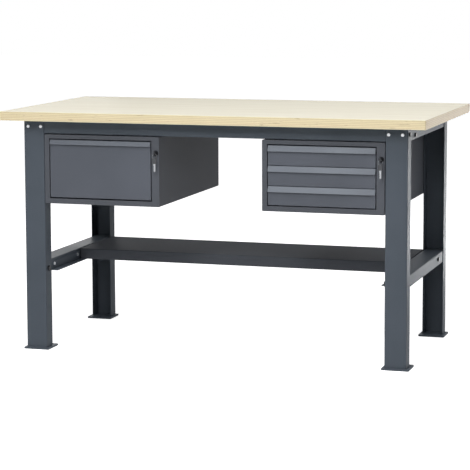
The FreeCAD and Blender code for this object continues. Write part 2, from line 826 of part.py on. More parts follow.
make_cabinet("left", left_cabinet)
make_cabinet("right", right_cabinet)
left_slides = make_drawer("left", left_cabinet, front_top - tall_front, tall_front, tall_lip)
group("left_cabinet_slides", left_slides)
right_slides = []
right_fronts = (("upper", small_front), ("centre", small_front), ("lower", lowest_front))
for step, (drawer_name, height) in enumerate(right_fronts):
    small_base = front_top - height - step * front_pitch
    right_slides += make_drawer(drawer_name, right_cabinet, small_base, height, small_lip)
group("right_cabinet_slides", right_slides)


# Locks with their keys: a fixed barrel and nut, a turning plug with a cam, a key, and a spare key on a ring

into_bench = towards(0, 1, 0)
barrels = []
lock_nuts = []


def make_lock(side_name, cabinet):
    x = cabinet + lock_across
    z = lock_height
    face = -front_line
    head_front = face - lock_head_thick

    head = new_rod(f"{side_name}_barrel_head", lock_head, lock_head_thick, x, head_front, z, into_bench)
    shank = new_rod(f"{side_name}_barrel_shank", lock_body, lock_length, x, face, z, into_bench)
    bore = new_rod(f"{side_name}_barrel_bore", lock_bore, lock_length + lock_head_thick, x, head_front, z,
                   into_bench)
    barrels.append(cut(f"{side_name}_barrel", fuse(f"{side_name}_barrel_solid", head, shank), bore))

    hexagon = new_hexagon(f"{side_name}_lock_hexagon", lock_nut_across, lock_nut_thick)
    thread = new_rod(f"{side_name}_lock_thread", lock_body + thread_play, lock_nut_thick)
    lock_nut = cut(f"{side_name}_lock_nut", hexagon, thread)
    place(lock_nut, x, face + panel_sheet, z, into_bench)
    lock_nuts.append(lock_nut)

    plug_front = head_front + 0.5
    plug_length = lock_head_thick + lock_length + cam_thick + 1
    plug_rod = new_rod(f"{side_name}_plug_rod", lock_plug, plug_length, x, plug_front, z, into_bench)
    slot = new_box(f"{side_name}_key_slot", x - key_thick / 2, plug_front, z - key_blade / 2, key_thick,
                   lock_length - 2, key_blade)
    node(cut(f"{side_name}_lock_plug", plug_rod, slot), f"{side_name}_lock_plug")

    cam_front = face + lock_length + 0.4
    plate = new_box(f"{side_name}_cam_plate", x - cam_width / 2, cam_front, z - cam_width / 2 - 1, cam_width,
                    cam_thick, cam_reach + cam_width / 2 + 1)
    eye = new_rod(f"{side_name}_cam_eye", lock_plug, cam_thick, x, cam_front, z, into_bench)
    node(cut(f"{side_name}_lock_cam", plate, eye), f"{side_name}_lock_cam")

    key = new_body(f"{side_name}_key")
    bow = new_sketch(key, "YZ_Plane", -bow_thick / 2)
    rectangle(bow, -bow_reach, -bow_half, -bow_start, bow_half)
    circles(bow, [(-bow_hole_reach, 0)], bow_hole)
    pad(key, bow, bow_thick)
    round_edges(key, 0, [(-bow_reach, side * bow_half) for side in (-1, 1)], bow_half * 0.8)
    round_edges(key, 0, [(-bow_start, side * bow_half) for side in (-1, 1)], bow_half / 2)
    blade = new_sketch(key, "YZ_Plane", -key_thick / 2)
    rectangle(blade, -bow_start - 1, -key_blade / 2, lock_length - lock_head_thick - 2, key_blade / 2)
    pad(key, blade, key_thick)
    place(key, x, face, z)
    node(key, f"{side_name}_key")

    ring = doc.addObject("Part::Torus", f"{side_name}_key_ring")
    bind(ring, "Radius1", ring_radius)
    bind(ring, "Radius2", ring_wire)
    ring_top = z - ring_sag
    place(ring, x, face - bow_hole_reach, ring_top - ring_radius, towards(1, -1, 0))
    node(ring, f"{side_name}_key_ring")

    spare = new_body(f"{side_name}_spare_key")
    bow = new_sketch(spare, "XZ_Plane", -bow_thick / 2)
    rectangle(bow, -spare_half, -spare_below, spare_half, spare_above)
    circles(bow, [(0, 0)], bow_hole)
    pad(spare, bow, bow_thick)
    for end in (spare_above, -spare_below):
        round_edges(spare, 1, [(side * spare_half, end) for side in (-1, 1)], spare_half * 0.6)
    blade = new_sketch(spare, "XZ_Plane", -key_thick / 2)
    rectangle(blade, -key_blade / 2, -spare_length, key_blade / 2, 1 - spare_below)
    pad(spare, blade, key_thick)
    place(spare, x, face - bow_hole_reach, ring_top - 2 * ring_radius - spare_sag)
    node(spare, f"{side_name}_spare_key")


make_lock("left", left_cabinet)
make_lock("right", right_cabinet)
group("lock_barrels", barrels)


# Fasteners

def make_bolt(label, kind, length):
    """A hexagon bolt along its own Z axis, the head's underside at nought and its top chamfered."""
    sizes = bolt_sizes[kind]
    face_circle = sizes["across"] * chamfer_circle
    hexagon = new_hexagon(f"{label}_hexagon", sizes["across"], sizes["head"], -sizes["head"])
    cone = new_cone(f"{label}_cone", face_circle, face_circle + sizes["head"] * chamfer_slope, sizes["head"],
                    -sizes["head"])
    shank = new_rod(f"{label}_shank", sizes["shank"], length)
    return fuse(label, common(f"{label}_head", hexagon, cone), shank)


def make_nut(label, kind):
    """A hexagon nut that stands on nought, its far end chamfered."""
    sizes = bolt_sizes[kind]
    face_circle = sizes["across"] * chamfer_circle
    hexagon = new_hexagon(f"{label}_hexagon", sizes["across"], sizes["nut"])
    cone = new_cone(f"{label}_cone", face_circle + sizes["nut"] * chamfer_slope, face_circle, sizes["nut"])
    thread = new_rod(f"{label}_thread", sizes["shank"] + thread_play, sizes["nut"])
    return cut(label, common(f"{label}_block", hexagon, cone), thread)


def make_fasteners():
    small = make_bolt("small_bolt_master", "small", short_bolt)
    small_nut = make_nut("small_nut_master", "small")
    middle = make_bolt("middle_bolt_master", "middle", middle_bolt)
    middle_nut = make_nut("middle_nut_master", "middle")
    large = make_bolt("large_bolt_master", "large", large_bolt)
    large_nut = make_nut("large_nut_master", "large")
    long_bolt = make_bolt("long_bolt_master", "middle", shelf_bolt)
    rail_bolt_line = top_underside - rail_bolt_drop
    shelf_line = lower_top - shelf_bolt_drop
    zinc, zinc_nuts = [], []
    for across in (-rail_bolt_outer, -rail_bolt_inner, rail_bolt_inner, rail_bolt_outer):
        for y, facing in ((-front_line, 1), (rear_line, -1)):
            zinc.append((across, y, rail_bolt_line, towards(0, facing, 0)))
            zinc_nuts.append((across, y + 2 * facing * frame_sheet, rail_bolt_line, towards(0, facing, 0)))
    for side in (-1, 1):
        for y in (-angle_bolt_front, -angle_bolt_rear):
            zinc.append((side * leg_inner_face, y, shelf_line, towards(side, 0, 0)))
            zinc_nuts.append((side * (leg_inner_face + 2 * frame_sheet), y, shelf_line, towards(side, 0, 0)))
    spacers = []
    for x in hang_spots:
        for deep in (hang_front, hang_rear):
            zinc.append((x, deep - front_line, cabinet_top - panel_sheet, None))
            zinc_nuts.append((x, deep - front_line, rail_base + frame_sheet, None))
            spacers.append((x, deep - front_line, cabinet_top, None))
    group("zinc_bolts", copies(small, zinc))

    dark, dark_nuts, large_spots, large_nuts, long_spots = [], [], [], [], []
    for side in (-1, 1):
        inward, outward = towards(-side, 0, 0), towards(side, 0, 0)
        rail_inside = side * (legs_span / 2 - 2 * frame_sheet)
        for y in leg_bolts_y:
            dark.append((side * legs_span / 2, y, rail_bolt_line, inward))
            dark_nuts.append((rail_inside, y, rail_bolt_line, inward))
            large_spots.append((side * leg_inner_face, y, lower_top - lower_bolt_drop, outward))
            rail_wall = side * (leg_inner_face + 2 * frame_sheet)
            large_nuts.append((rail_wall, y, lower_top - lower_bolt_drop, outward))
        lone_line = top_underside - side_bolt_drop
        dark.append((side * (legs_span / 2 - frame_sheet), -side_bolt_ahead, lone_line, inward))
        dark_nuts.append((rail_inside, -side_bolt_ahead, lone_line, inward))
        long_spots.append((side * (legs_span / 2 - frame_sheet), shelf_bolt_back, shelf_line, inward))
        dark_nuts.append((side * (shelf_half - shelf_sheet), shelf_bolt_back, shelf_line, inward))
    group("dark_bolts", copies(middle, dark) + copies(large, large_spots) + copies(long_bolt, long_spots))
    group("nuts", copies(small_nut, zinc_nuts) + copies(middle_nut, dark_nuts)
          + copies(large_nut, large_nuts) + lock_nuts)

    spacer_disc = new_rod("spacer_disc", spacer_radius, cabinet_drop)
    spacer_hole = new_rod("spacer_hole", bolt_sizes["small"]["shank"] + hole_play, cabinet_drop)
    group("cabinet_spacers", copies(cut("spacer_master", spacer_disc, spacer_hole), spacers))

    screw_cap = new_rod("screw_cap", screw_head, screw_head_thick, 0, 0, -screw_head_thick)
    screw_rod = new_rod("screw_rod", screw_shank, screw_length)
    screw_seats = [(x, y, top_underside - frame_sheet, None) for x, y in screw_spots]
    group("worktop_screws", copies(fuse("screw_master", screw_cap, screw_rod), screw_seats))


make_fasteners()
doc.recompute()

# Check every object and write one file for each node

faulty = [item.Label for item in doc.Objects if "Invalid" in item.State or "Error" in item.State]
faulty += [item.Label for item in nodes if item.Shape.isNull() or not item.Shape.isValid()]
if faulty:
    raise RuntimeError(f"faulty pieces: {faulty}")
os.makedirs("parts", exist_ok=True)
for item in nodes:
    item.Shape.exportStep(f"parts/{item.Label}.step")
print(f"{len(nodes)} nodes, {sum(len(item.Shape.Solids) for item in nodes)} solids")
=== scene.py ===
# %% [markdown]
# # A steel workbench with two hanging drawer cabinets
# The bench was drawn first as exact solids: a plywood top, folded sheet-metal legs and rails, two cabinets with
# drawers on slides, a lower shelf, locks and bolts. This lesson dresses those solids. The folded sheets already
# have their true shape, so most of the work is in the finishes; the small turned and milled pieces at the locks
# are modelled again with finer edges.

# %% Load the solids
import bmesh
import bpy
import json
import math
from mathutils import Matrix, Vector


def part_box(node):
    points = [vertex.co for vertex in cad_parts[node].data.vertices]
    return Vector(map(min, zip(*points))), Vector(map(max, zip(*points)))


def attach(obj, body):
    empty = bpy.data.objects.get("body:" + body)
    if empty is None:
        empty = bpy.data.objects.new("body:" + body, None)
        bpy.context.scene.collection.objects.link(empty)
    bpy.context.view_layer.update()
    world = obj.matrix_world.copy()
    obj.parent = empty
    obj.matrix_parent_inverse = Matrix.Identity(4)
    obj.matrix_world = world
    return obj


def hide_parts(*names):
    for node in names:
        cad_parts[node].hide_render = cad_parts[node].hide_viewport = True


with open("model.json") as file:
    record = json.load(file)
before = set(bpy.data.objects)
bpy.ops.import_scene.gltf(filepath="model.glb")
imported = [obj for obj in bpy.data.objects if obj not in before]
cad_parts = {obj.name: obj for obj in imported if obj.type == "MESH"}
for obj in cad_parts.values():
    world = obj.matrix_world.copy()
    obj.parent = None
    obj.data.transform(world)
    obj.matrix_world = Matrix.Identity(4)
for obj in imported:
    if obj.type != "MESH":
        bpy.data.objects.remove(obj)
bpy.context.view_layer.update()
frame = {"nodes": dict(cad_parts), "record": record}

# %% [markdown]
# ## The camera
# The picture was taken from the right of the bench, a little above the top, with a long lens that keeps the legs
# nearly parallel. A camera can be placed by eye, or by matching a few measured corners; the numbers here come
# from matching corners. The small downward shift holds the upright edges upright, as a shift lens does.

# %% Place the camera
picture_width = 470
focal_pixels = 1905.14
standpoint = (1.97709, -6.45174, 1.34023)
swing_degrees, down_degrees, roll_degrees = 17.2017, 6.6661, -0.1574

camera_data = bpy.data.cameras.new("bench_camera")
camera_data.sensor_width = 36.0
camera_data.lens = focal_pixels * camera_data.sensor_width / picture_width
camera_data.shift_y = -0.10
camera_data.clip_end = 200.0
camera = bpy.data.objects.new("bench_camera", camera_data)
swing = Matrix.Rotation(math.radians(swing_degrees), 4, "Z")
tilt = Matrix.Rotation(math.radians(90 - down_degrees), 4, "X")
roll = Matrix.Rotation(math.radians(roll_degrees), 4, "Z")
camera.matrix_world = Matrix.Translation(standpoint) @ swing @ tilt @ roll
bpy.context.scene.collection.objects.link(camera)
bpy.context.scene.camera = camera
print("lens:", round(camera_data.lens, 2), "mm")

# %% [markdown]
# ## White surroundings
# A product photographer rolls out white paper and lights it evenly, so that the background prints as pure white.
# More lamps could do that here too, but they would bleach the bench. Instead the surroundings answer the camera,
# and the reflections in paint and metal, with a plain white, and give the bench itself a softer light.

# %% Light from all round
bpy.context.scene.view_settings.view_transform = "Standard"


def make(tree, kind, inputs=None, **settings):
    """One shader node; each input is a plain value or the outlet of another node."""
    node = tree.nodes.new("ShaderNode" + kind)
    for name, value in settings.items():
        setattr(node, name, value)
    for name, value in (inputs or {}).items():
        if isinstance(value, bpy.types.NodeSocket):
            tree.links.new(value, node.inputs[name])
        else:
            node.inputs[name].default_value = value
    return node


def sum_up(tree, operation, first, second=0.0, **settings):
    """The outlet of one sum on one or two values, such as ADD or ABSOLUTE."""
    return make(tree, "Math", {0: first, 1: second}, operation=operation, **settings).outputs[0]


def seen_directly(tree):
    """1 for rays from the camera, a reflection or a clear material, and 0 for the light that falls on things."""
    path = make(tree, "LightPath").outputs
    pair = sum_up(tree, "ADD", path["Is Camera Ray"], path["Is Glossy Ray"])
    return sum_up(tree, "ADD", pair, path["Is Transmission Ray"], use_clamp=True)


soft_level = 0.04
surroundings = bpy.data.worlds.new("white_studio")
surroundings.use_nodes = True
sky = surroundings.node_tree
sky.nodes.clear()
strength = make(sky, "MapRange", {"Value": seen_directly(sky), "To Min": soft_level, "To Max": 1.0})
white = make(sky, "Background", {"Color": (1.0, 1.0, 1.0, 1.0), "Strength": strength.outputs["Result"]})
make(sky, "OutputWorld", {"Surface": white.outputs["Background"]})
bpy.context.scene.world = surroundings
print("soft light from all round:", soft_level)

# %% [markdown]
# The floor is a white sheet. Its own colour catches the shadows under the feet, and a glow, which only the camera
# and the reflections see, lifts the lit part of it to the white of the background. The glow grows with the distance
# from the bench, because the lamps reach the far floor less.

# %% Lay the floor
def keep_mesh(name, work):
    """Turn a finished bmesh into an object whose place is in its mesh."""
    mesh = bpy.data.meshes.new(name)
    work.to_mesh(mesh)
    work.free()
    piece = bpy.data.objects.new(name, mesh)
    bpy.context.scene.collection.objects.link(piece)
    return piece


near, far = 1.2, 3.2
near_glow, far_glow = 0.84, 1.0
paper_white = (0.86, 0.86, 0.86, 1.0)

work = bmesh.new()
bmesh.ops.create_grid(work, x_segments=1, y_segments=1, size=20.0)
floor = keep_mesh("white_floor", work)
floor_paper = bpy.data.materials.new("white_paper")
floor_paper.use_nodes = True
tree = floor_paper.node_tree
tree.nodes.clear()
paper = make(tree, "BsdfDiffuse", {"Color": paper_white})
away = make(tree, "VectorMath", {0: make(tree, "TexCoord").outputs["Object"]}, operation="LENGTH")
rising = make(tree, "MapRange", {"Value": away.outputs["Value"], "From Min": near, "From Max": far,
                                 "To Min": near_glow, "To Max": far_glow})
glow_share = sum_up(tree, "MULTIPLY", seen_directly(tree), rising.outputs["Result"])
glow = make(tree, "Emission", {"Strength": glow_share})
both = make(tree, "AddShader", {0: paper.outputs["BSDF"], 1: glow.outputs["Emission"]})
make(tree, "OutputMaterial", {"Surface": both.outputs["Shader"]})
floor.data.materials.append(floor_paper)
print("floor:", floor.dimensions[:])

# %% [markdown]
# ## Lamps
# A product photographer builds the light from panels. Three large soft boxes high in front give the faces and the
# top their even shade and put a soft shadow under each drawer lip. Smaller ones fill the right, the back and the
# left; the last two add no highlights, because the flat top would mirror them as glare. Two glance panels stand
# where the leaning lips mirror the camera, so that the lips shine while the flat faces below stay as they are. The
# last panels are small and gridded: they graze the right-hand flanges and the left rail from behind, which draws
# the bright edges of the frame.

# %% Set up the soft boxes
cool_light = (0.74, 0.87, 1.0)


def soft_box(name, place, aim, width, height, watts, spread=180, shade=True, shine=True):
    """One glowing panel that faces a point; a spread under 180 degrees is a grid that narrows its beam.

    With shade off it is a little cooler and only adds highlights; with shine off it adds none.
    """
    lamp = bpy.data.lights.new(name, "AREA")
    lamp.shape = "RECTANGLE"
    lamp.size, lamp.size_y = width, height
    lamp.energy = watts
    lamp.spread = math.radians(spread)
    if not shade:
        lamp.color = cool_light
    stand = bpy.data.objects.new(name, lamp)
    stand.visible_camera = False
    stand.visible_diffuse, stand.visible_glossy = shade, shine
    direction = Vector(aim) - Vector(place)
    stand.matrix_world = Matrix.Translation(place) @ direction.to_track_quat("-Z", "Y").to_matrix().to_4x4()
    bpy.context.scene.collection.objects.link(stand)
    print(name, watts, "W")


soft_box("front_left_box", (-0.6, -3.9, 3.3), (0.0, 0.0, 0.6), 1.8, 1.8, 88)
soft_box("high_front_box", (0.1, -2.5, 3.9), (0.0, -0.4, 0.7), 2.6, 1.4, 36)
soft_box("overhead_box", (0.5, -1.6, 4.2), (0.3, -0.3, 0.7), 2.4, 1.4, 40)

soft_box("front_right_box", (1.5, -3.8, 2.8), (0.3, -0.3, 0.6), 1.4, 1.4, 30)
soft_box("right_box", (2.6, 0.2, 2.6), (0.6, 0.0, 0.6), 1.2, 1.2, 13)
soft_box("back_box", (0.2, 3.7, 1.9), (0.0, 0.3, 0.45), 1.8, 1.8, 26, shine=False)
soft_box("left_box", (-3.3, 0.5, 1.0), (-0.7, 0.1, 0.45), 1.4, 1.2, 16, shine=False)

soft_box("small_lip_panel", (-0.45, -2.9, 2.4), (0.39, -0.356, 0.7), 0.35, 0.7, 52, shade=False)
soft_box("tall_lip_panel", (-1.49, -2.46, 2.58), (-0.4, -0.356, 0.73), 0.3, 0.6, 16, shade=False)

soft_box("right_gridded_strip", (1.14, 1.9, 0.32), (0.72, 0.0, 0.50), 0.4, 0.56, 0.32, spread=40)
soft_box("low_gridded_strip", (1.02, 1.5, 0.16), (0.70, 0.0, 0.30), 0.26, 0.22, 0.09, spread=40)
soft_box("high_gridded_strip", (1.10, 1.7, 0.72), (0.72, 0.0, 0.76), 0.3, 0.16, 0.04, spread=40)
soft_box("left_gridded_panel", (-1.95, 3.0, 0.85), (-0.9, 0.0, 0.31), 0.6, 0.6, 0.31, spread=40)

# %% [markdown]
# ## Tools for the finishes
# A shader works in linear light, while colours are usually read from a screen, so the first helper turns one into
# the other. The second starts an empty material with one surface shader, which each finish then fills.

# %% Helpers for colours and empty finishes
def tint(red, green, blue):
    """A colour as a picture editor writes it, turned into the linear light that shaders use."""
    parts = [value / 255 for value in (red, green, blue)]
    return (*[part / 12.92 if part < 0.04 else ((part + 0.055) / 1.055) ** 2.4 for part in parts], 1.0)


def new_finish(name):
    """An empty material: its node tree and its surface shader."""
    finish = bpy.data.materials.new(name)
    finish.use_nodes = True
    tree = finish.node_tree
    tree.nodes.clear()
    surface = make(tree, "BsdfPrincipled")
    make(tree, "OutputMaterial", {"Surface": surface.outputs["BSDF"]})
    return finish, tree, surface


print("middle grey in linear light:", round(tint(128, 128, 128)[0], 3))

# %% [markdown]
# Real finishes vary: powder drifts, wood has fibres, plating has a grain. Each finish below starts from noise in
# the metres of the bench itself, so that its size is right on every piece and stays with the piece as it moves.
# The other helpers carry that noise over to a colour, a roughness or a small relief.

# %% Helpers for noise and what it drives
even = (1, 1, 1)
full_shade = (1, 1, 1, 1)


def grain(tree, stretch, scale, detail=2.0):
    """Noise from 0 to 1, stretched along the bench's axes; a small stretch makes long streaks."""
    place = make(tree, "TexCoord").outputs["Object"]
    stretched = make(tree, "Mapping", {"Vector": place, "Scale": stretch})
    noise = make(tree, "TexNoise", {"Vector": stretched.outputs["Vector"], "Scale": scale, "Detail": detail})
    return noise.outputs["Fac"]


def span(tree, value, low, high, start=0.3, end=0.7):
    """Carry a noise value over to a range of another quantity."""
    ranged = make(tree, "MapRange", {"Value": value, "From Min": start, "From Max": end,
                                     "To Min": low, "To Max": high})
    return ranged.outputs["Result"]


def shades(tree, value, stops):
    """Colours along a value, each stop a place from 0 to 1 and a colour."""
    ramp = make(tree, "ValToRGB", {"Fac": value})
    points = ramp.color_ramp.elements
    while len(points) < len(stops):
        points.new(0.5)
    for point, (place, colour) in zip(points, stops):
        point.position = place
        point.color = colour
    return ramp.outputs["Color"]


def blend_colours(tree, share, first, second, mode="MIX"):
    """Two colours blended by a share from 0 to 1."""
    mixed = make(tree, "Mix", {"Factor": share}, data_type="RGBA", blend_type=mode)
    for socket, value in ((mixed.inputs[6], first), (mixed.inputs[7], second)):
        if isinstance(value, bpy.types.NodeSocket):
            tree.links.new(value, socket)
        else:
            socket.default_value = value
    return mixed.outputs[2]


def relief(tree, surface, height, strength, depth):
    """Give the surface small hills from a height value, with their depth in metres."""
    bump = make(tree, "Bump", {"Height": height, "Strength": strength, "Distance": depth})
    tree.links.new(bump.outputs["Normal"], surface.inputs["Normal"])


print("helpers ready")

# %% [markdown]
# ## Powder coat
# All the folded steel is baked in an anthracite powder. Close up such a coat is not flat: it has a fine pebbled
# skin, a slow drift of shade where the film is thicker, and a gloss that changes with both. One noise with
# pebbles of about a millimetre gives the skin, another with patches of a hand's width gives the drift. The same
# recipe makes four coats, because the batches differ: the frame is a little bluer, the cabinets are matt, the
# drawer fronts are satin, so that their slanting lips catch the light, and the shelf is the dullest. The shelf coat
# is also painted darker than the others, as painted shade for the shade under the top and the cabinets.

# %% Mix the powder coats
def powder_coat(name, thin, thick, roughness, shine):
    """A coat between the colours of its thin and its thick film."""
    finish, tree, surface = new_finish(name)
    drift = grain(tree, even, scale=3.0, detail=4.0)
    pebbles = grain(tree, even, scale=620.0)
    colour = shades(tree, drift, [(0.3, thin), (0.7, thick)])
    fleck = shades(tree, pebbles, [(0.35, (0.86, 0.86, 0.86, 1)), (0.65, full_shade)])
    tree.links.new(blend_colours(tree, 0.6, colour, fleck, "MULTIPLY"), surface.inputs["Base Color"])
    skin = sum_up(tree, "ADD", drift, pebbles)
    gloss = span(tree, skin, roughness - 0.05, roughness + 0.05, start=0.8, end=1.2)
    tree.links.new(gloss, surface.inputs["Roughness"])
    surface.inputs["Specular IOR Level"].default_value = shine
    relief(tree, surface, pebbles, strength=0.10, depth=0.0003)
    return finish


frame_coat = powder_coat("anthracite_frame_coat", tint(80, 87, 95), tint(88, 95, 104), 0.50, 0.06)
cabinet_coat = powder_coat("anthracite_cabinet_coat", tint(85, 88, 94), tint(93, 96, 103), 0.50, 0.04)
drawer_coat = powder_coat("anthracite_drawer_coat", tint(84, 88, 96), tint(92, 96, 105), 0.40, 0.20)
# The shelf coat is painted darker than the frame coat, as painted shade for the shade under the top and cabinets.
shelf_coat_in_painted_shade = powder_coat("anthracite_shelf_coat_in_painted_shade", tint(74, 77, 83), tint(82, 85, 91), 0.70, 0.07)
print("coats:", [item.name for item in (frame_coat, cabinet_coat, drawer_coat, shelf_coat_in_painted_shade)])

# %% [markdown]
# ## Plywood
# The top is thick plywood. From above it shows one pale veneer with faint fibres; its edges show the stack of
# plies, cut along the grain in one layer and across it in the next, with thin brown glue lines between and a few
# dark pockets. The layers follow from the height alone, so no picture is needed: the height is cut into plies,
# and odd and even plies take turns. On the two short ends the turns swap, as in a real sheet, and the ends are
# painted a little darker and browner, as painted shade.

# %% Colour the cut edges
def ply_edge(tree, axes, underside, thickness, half_length, plies):
    """The colour of the stack of plies as its cut edges show it."""
    wander = span(tree, grain(tree, (1, 1, 0.2), scale=9.0), -0.00035, 0.00035)
    height = sum_up(tree, "ADD", axes["Z"], wander)
    ply = span(tree, height, 0.0, plies, start=underside, end=underside + thickness)
    cross = sum_up(tree, "GREATER_THAN", sum_up(tree, "FLOORED_MODULO", ply, 2.0), 1.0)
    short_end = sum_up(tree, "GREATER_THAN", sum_up(tree, "ABSOLUTE", axes["X"]), half_length - 0.0008)
    end_grain = sum_up(tree, "ABSOLUTE", sum_up(tree, "SUBTRACT", cross, short_end))

    fibres = grain(tree, (1, 1, 60), scale=14.0, detail=4.0)
    pores = grain(tree, even, scale=900.0, detail=3.0)
    along = shades(tree, fibres, [(0.3, tint(220, 206, 166)), (0.7, tint(234, 222, 185))])
    across = shades(tree, pores, [(0.35, tint(200, 181, 142)), (0.65, tint(224, 208, 172))])
    edge = blend_colours(tree, end_grain, along, across)

    off_middle = sum_up(tree, "SUBTRACT", sum_up(tree, "FRACT", ply), 0.5)
    glue = span(tree, sum_up(tree, "ABSOLUTE", off_middle), 0.0, 0.4, start=0.42, end=0.5)
    edge = blend_colours(tree, glue, edge, tint(176, 134, 96))
    pocket = span(tree, grain(tree, (1, 1, 12), scale=24.0, detail=3.0), 0.0, 0.55, start=0.66, end=0.74)
    edge = blend_colours(tree, pocket, edge, tint(120, 82, 50))
    # Painted shade: the two short ends are painted a little darker and browner.
    end_painted_shade = blend_colours(tree, 1.0, edge, tint(238, 228, 219), "MULTIPLY")
    return blend_colours(tree, short_end, edge, end_painted_shade)


print("edge recipe ready")

# %% [markdown]
# The veneer has two kinds of streaks, both along the bench: a broad figure that drifts between three pale shades,
# and fine hairs that darken it a little, dull it and give it a slight relief. The outermost fraction of a
# millimetre above and below counts as veneer, and all between as edge.

# %% Grow the plywood
def plywood(name, underside, thickness, half_length, plies):
    """Veneer on the upper and lower skin, and a stack of plies between."""
    finish, tree, surface = new_finish(name)
    axes = make(tree, "SeparateXYZ", {"Vector": make(tree, "TexCoord").outputs["Object"]}).outputs
    edge = ply_edge(tree, axes, underside, thickness, half_length, plies)

    figure = grain(tree, (0.5, 9, 1), scale=5.0, detail=5.0)
    hairs = grain(tree, (1, 40, 1), scale=22.0, detail=3.0)
    veneer = shades(tree, figure, [(0.3, tint(229, 222, 201)), (0.5, tint(234, 228, 208)),
                                   (0.7, tint(238, 233, 214))])
    hair_shade = shades(tree, hairs, [(0.3, (0.93, 0.92, 0.90, 1)), (0.6, full_shade)])
    veneer = blend_colours(tree, 0.7, veneer, hair_shade, "MULTIPLY")
    low_skin = sum_up(tree, "LESS_THAN", axes["Z"], underside + 0.0003)
    high_skin = sum_up(tree, "GREATER_THAN", axes["Z"], underside + thickness - 0.0006)
    skin = sum_up(tree, "ADD", low_skin, high_skin)
    tree.links.new(blend_colours(tree, skin, edge, veneer), surface.inputs["Base Color"])
    tree.links.new(span(tree, hairs, 0.42, 0.56), surface.inputs["Roughness"])
    relief(tree, surface, hairs, strength=0.12, depth=0.0004)
    return finish


plies = 11
low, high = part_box("worktop")
top_wood = plywood("birch_plywood", low.z, high.z - low.z, high.x, plies)
print("plies:", plies, "of", round((high.z - low.z) / plies * 1000, 2), "mm")

# %% [markdown]
# ## Bright and dark metal
# The front bolts, nuts and slides are zinc plated: a grey metal with a cloudy, faintly mottled sheen. The slides
# were rolled, so their clouding runs in streaks along the travel. The side bolts are blackened, and the lock is a
# dark plated casting. The key rings are bare spring wire, and the blades of the keys are nickel plated.

# %% Plate the metal
def metal(name, dull, bright, rough, stretch, scale, metallic=1.0):
    """A metal that is rougher where it is dull and smoother where it is bright."""
    finish, tree, surface = new_finish(name)
    cloud = grain(tree, stretch, scale, detail=3.0)
    tree.links.new(shades(tree, cloud, [(0.3, dull), (0.7, bright)]), surface.inputs["Base Color"])
    tree.links.new(span(tree, cloud, rough + 0.08, rough - 0.08), surface.inputs["Roughness"])
    surface.inputs["Metallic"].default_value = metallic
    relief(tree, surface, cloud, strength=0.06, depth=0.0002)
    return finish


zinc = metal("zinc_plating", tint(182, 184, 188), tint(214, 216, 220), 0.34, even, 260.0)
rolled_zinc = metal("rolled_zinc", tint(176, 178, 182), tint(206, 208, 212), 0.36, (1, 0.02, 1), 420.0)
black_steel = metal("blackened_steel", tint(30, 31, 33), tint(46, 47, 50), 0.42, even, 300.0, metallic=0.7)
dark_casting = metal("dark_lock_casting", tint(28, 29, 32), tint(52, 53, 57), 0.30, even, 340.0, metallic=0.8)
spring_wire = metal("spring_wire", tint(96, 98, 102), tint(138, 140, 144), 0.28, even, 500.0)
nickel = metal("nickel_plating", tint(152, 154, 157), tint(182, 184, 187), 0.30, (1, 1, 0.1), 500.0)
print("metals:", [item.name for item in (zinc, rolled_zinc, black_steel, dark_casting, spring_wire, nickel)])

# %% [markdown]
# ## Dress the solids
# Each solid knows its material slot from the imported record, so one table from slot to finish dresses them all.

# %% Give each solid its finish
finishes = {
    "worktop": top_wood, "frame_paint": frame_coat, "shelf_paint": shelf_coat_in_painted_shade, "cabinet_paint": cabinet_coat,
    "drawer_paint": drawer_coat, "drawer_box_paint": cabinet_coat, "slide_steel": rolled_zinc,
    "zinc_fasteners": zinc, "dark_fasteners": black_steel, "lock_metal": dark_casting, "keys": nickel,
    "key_ring": spring_wire,
}
for part in frame["record"]["subparts"]:
    solid = frame["nodes"][part["node"]]
    solid.data.materials.clear()
    solid.data.materials.append(finishes[part["material_slot"]])

# %% [markdown]
# ## Lock barrels
# A lock barrel is turned on a lathe: a flanged head with a broken rim and a shallow dish, and a narrower neck
# behind the panel. A spin does the same work. A few corners of half the cross-section are joined by edges, the
# edges are spun once round the lock's axis, and the rim is bevelled. Both barrels are one casting set, as in the
# solids.

# %% Helpers for turned shapes
sharp_angle = 0.6


def lathe(work, centre, outline):
    """Spin corners, given as distance from the axis and place along it, once round the Y axis through a point."""
    corners = [work.verts.new((centre[0] + out, centre[1] + along, centre[2])) for out, along in outline]
    loop = [work.edges.new((first, second)) for first, second in zip(corners, corners[1:] + corners[:1])]
    bmesh.ops.spin(work, geom=corners + loop, cent=centre, axis=(0, 1, 0), angle=math.tau, steps=48,
                   use_merge=True)


def soften(work, offset, segments, chosen):
    """Bevel the sharp edges for which chosen(edge) holds."""
    sharp = [edge for edge in work.edges
             if edge.is_manifold and edge.calc_face_angle() > sharp_angle and chosen(edge)]
    bmesh.ops.bevel(work, geom=sharp, offset=offset, segments=segments, profile=0.5, affect="EDGES", material=-1)


low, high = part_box("lock_barrels")
print("barrels lie between", low[:], "and", high[:])

# %% [markdown]
# The box of the two solids gives the places: each head touches one end of it, and the bore, dish and neck are
# radii from the lock's axis.

# %% Turn the barrels
bore, dish, neck = 0.00455, 0.0072, 0.0065
dish_depth, dish_rim, head_thick, rim_round = 0.0012, 0.0001, 0.004, 0.0008
small_face = 3e-6

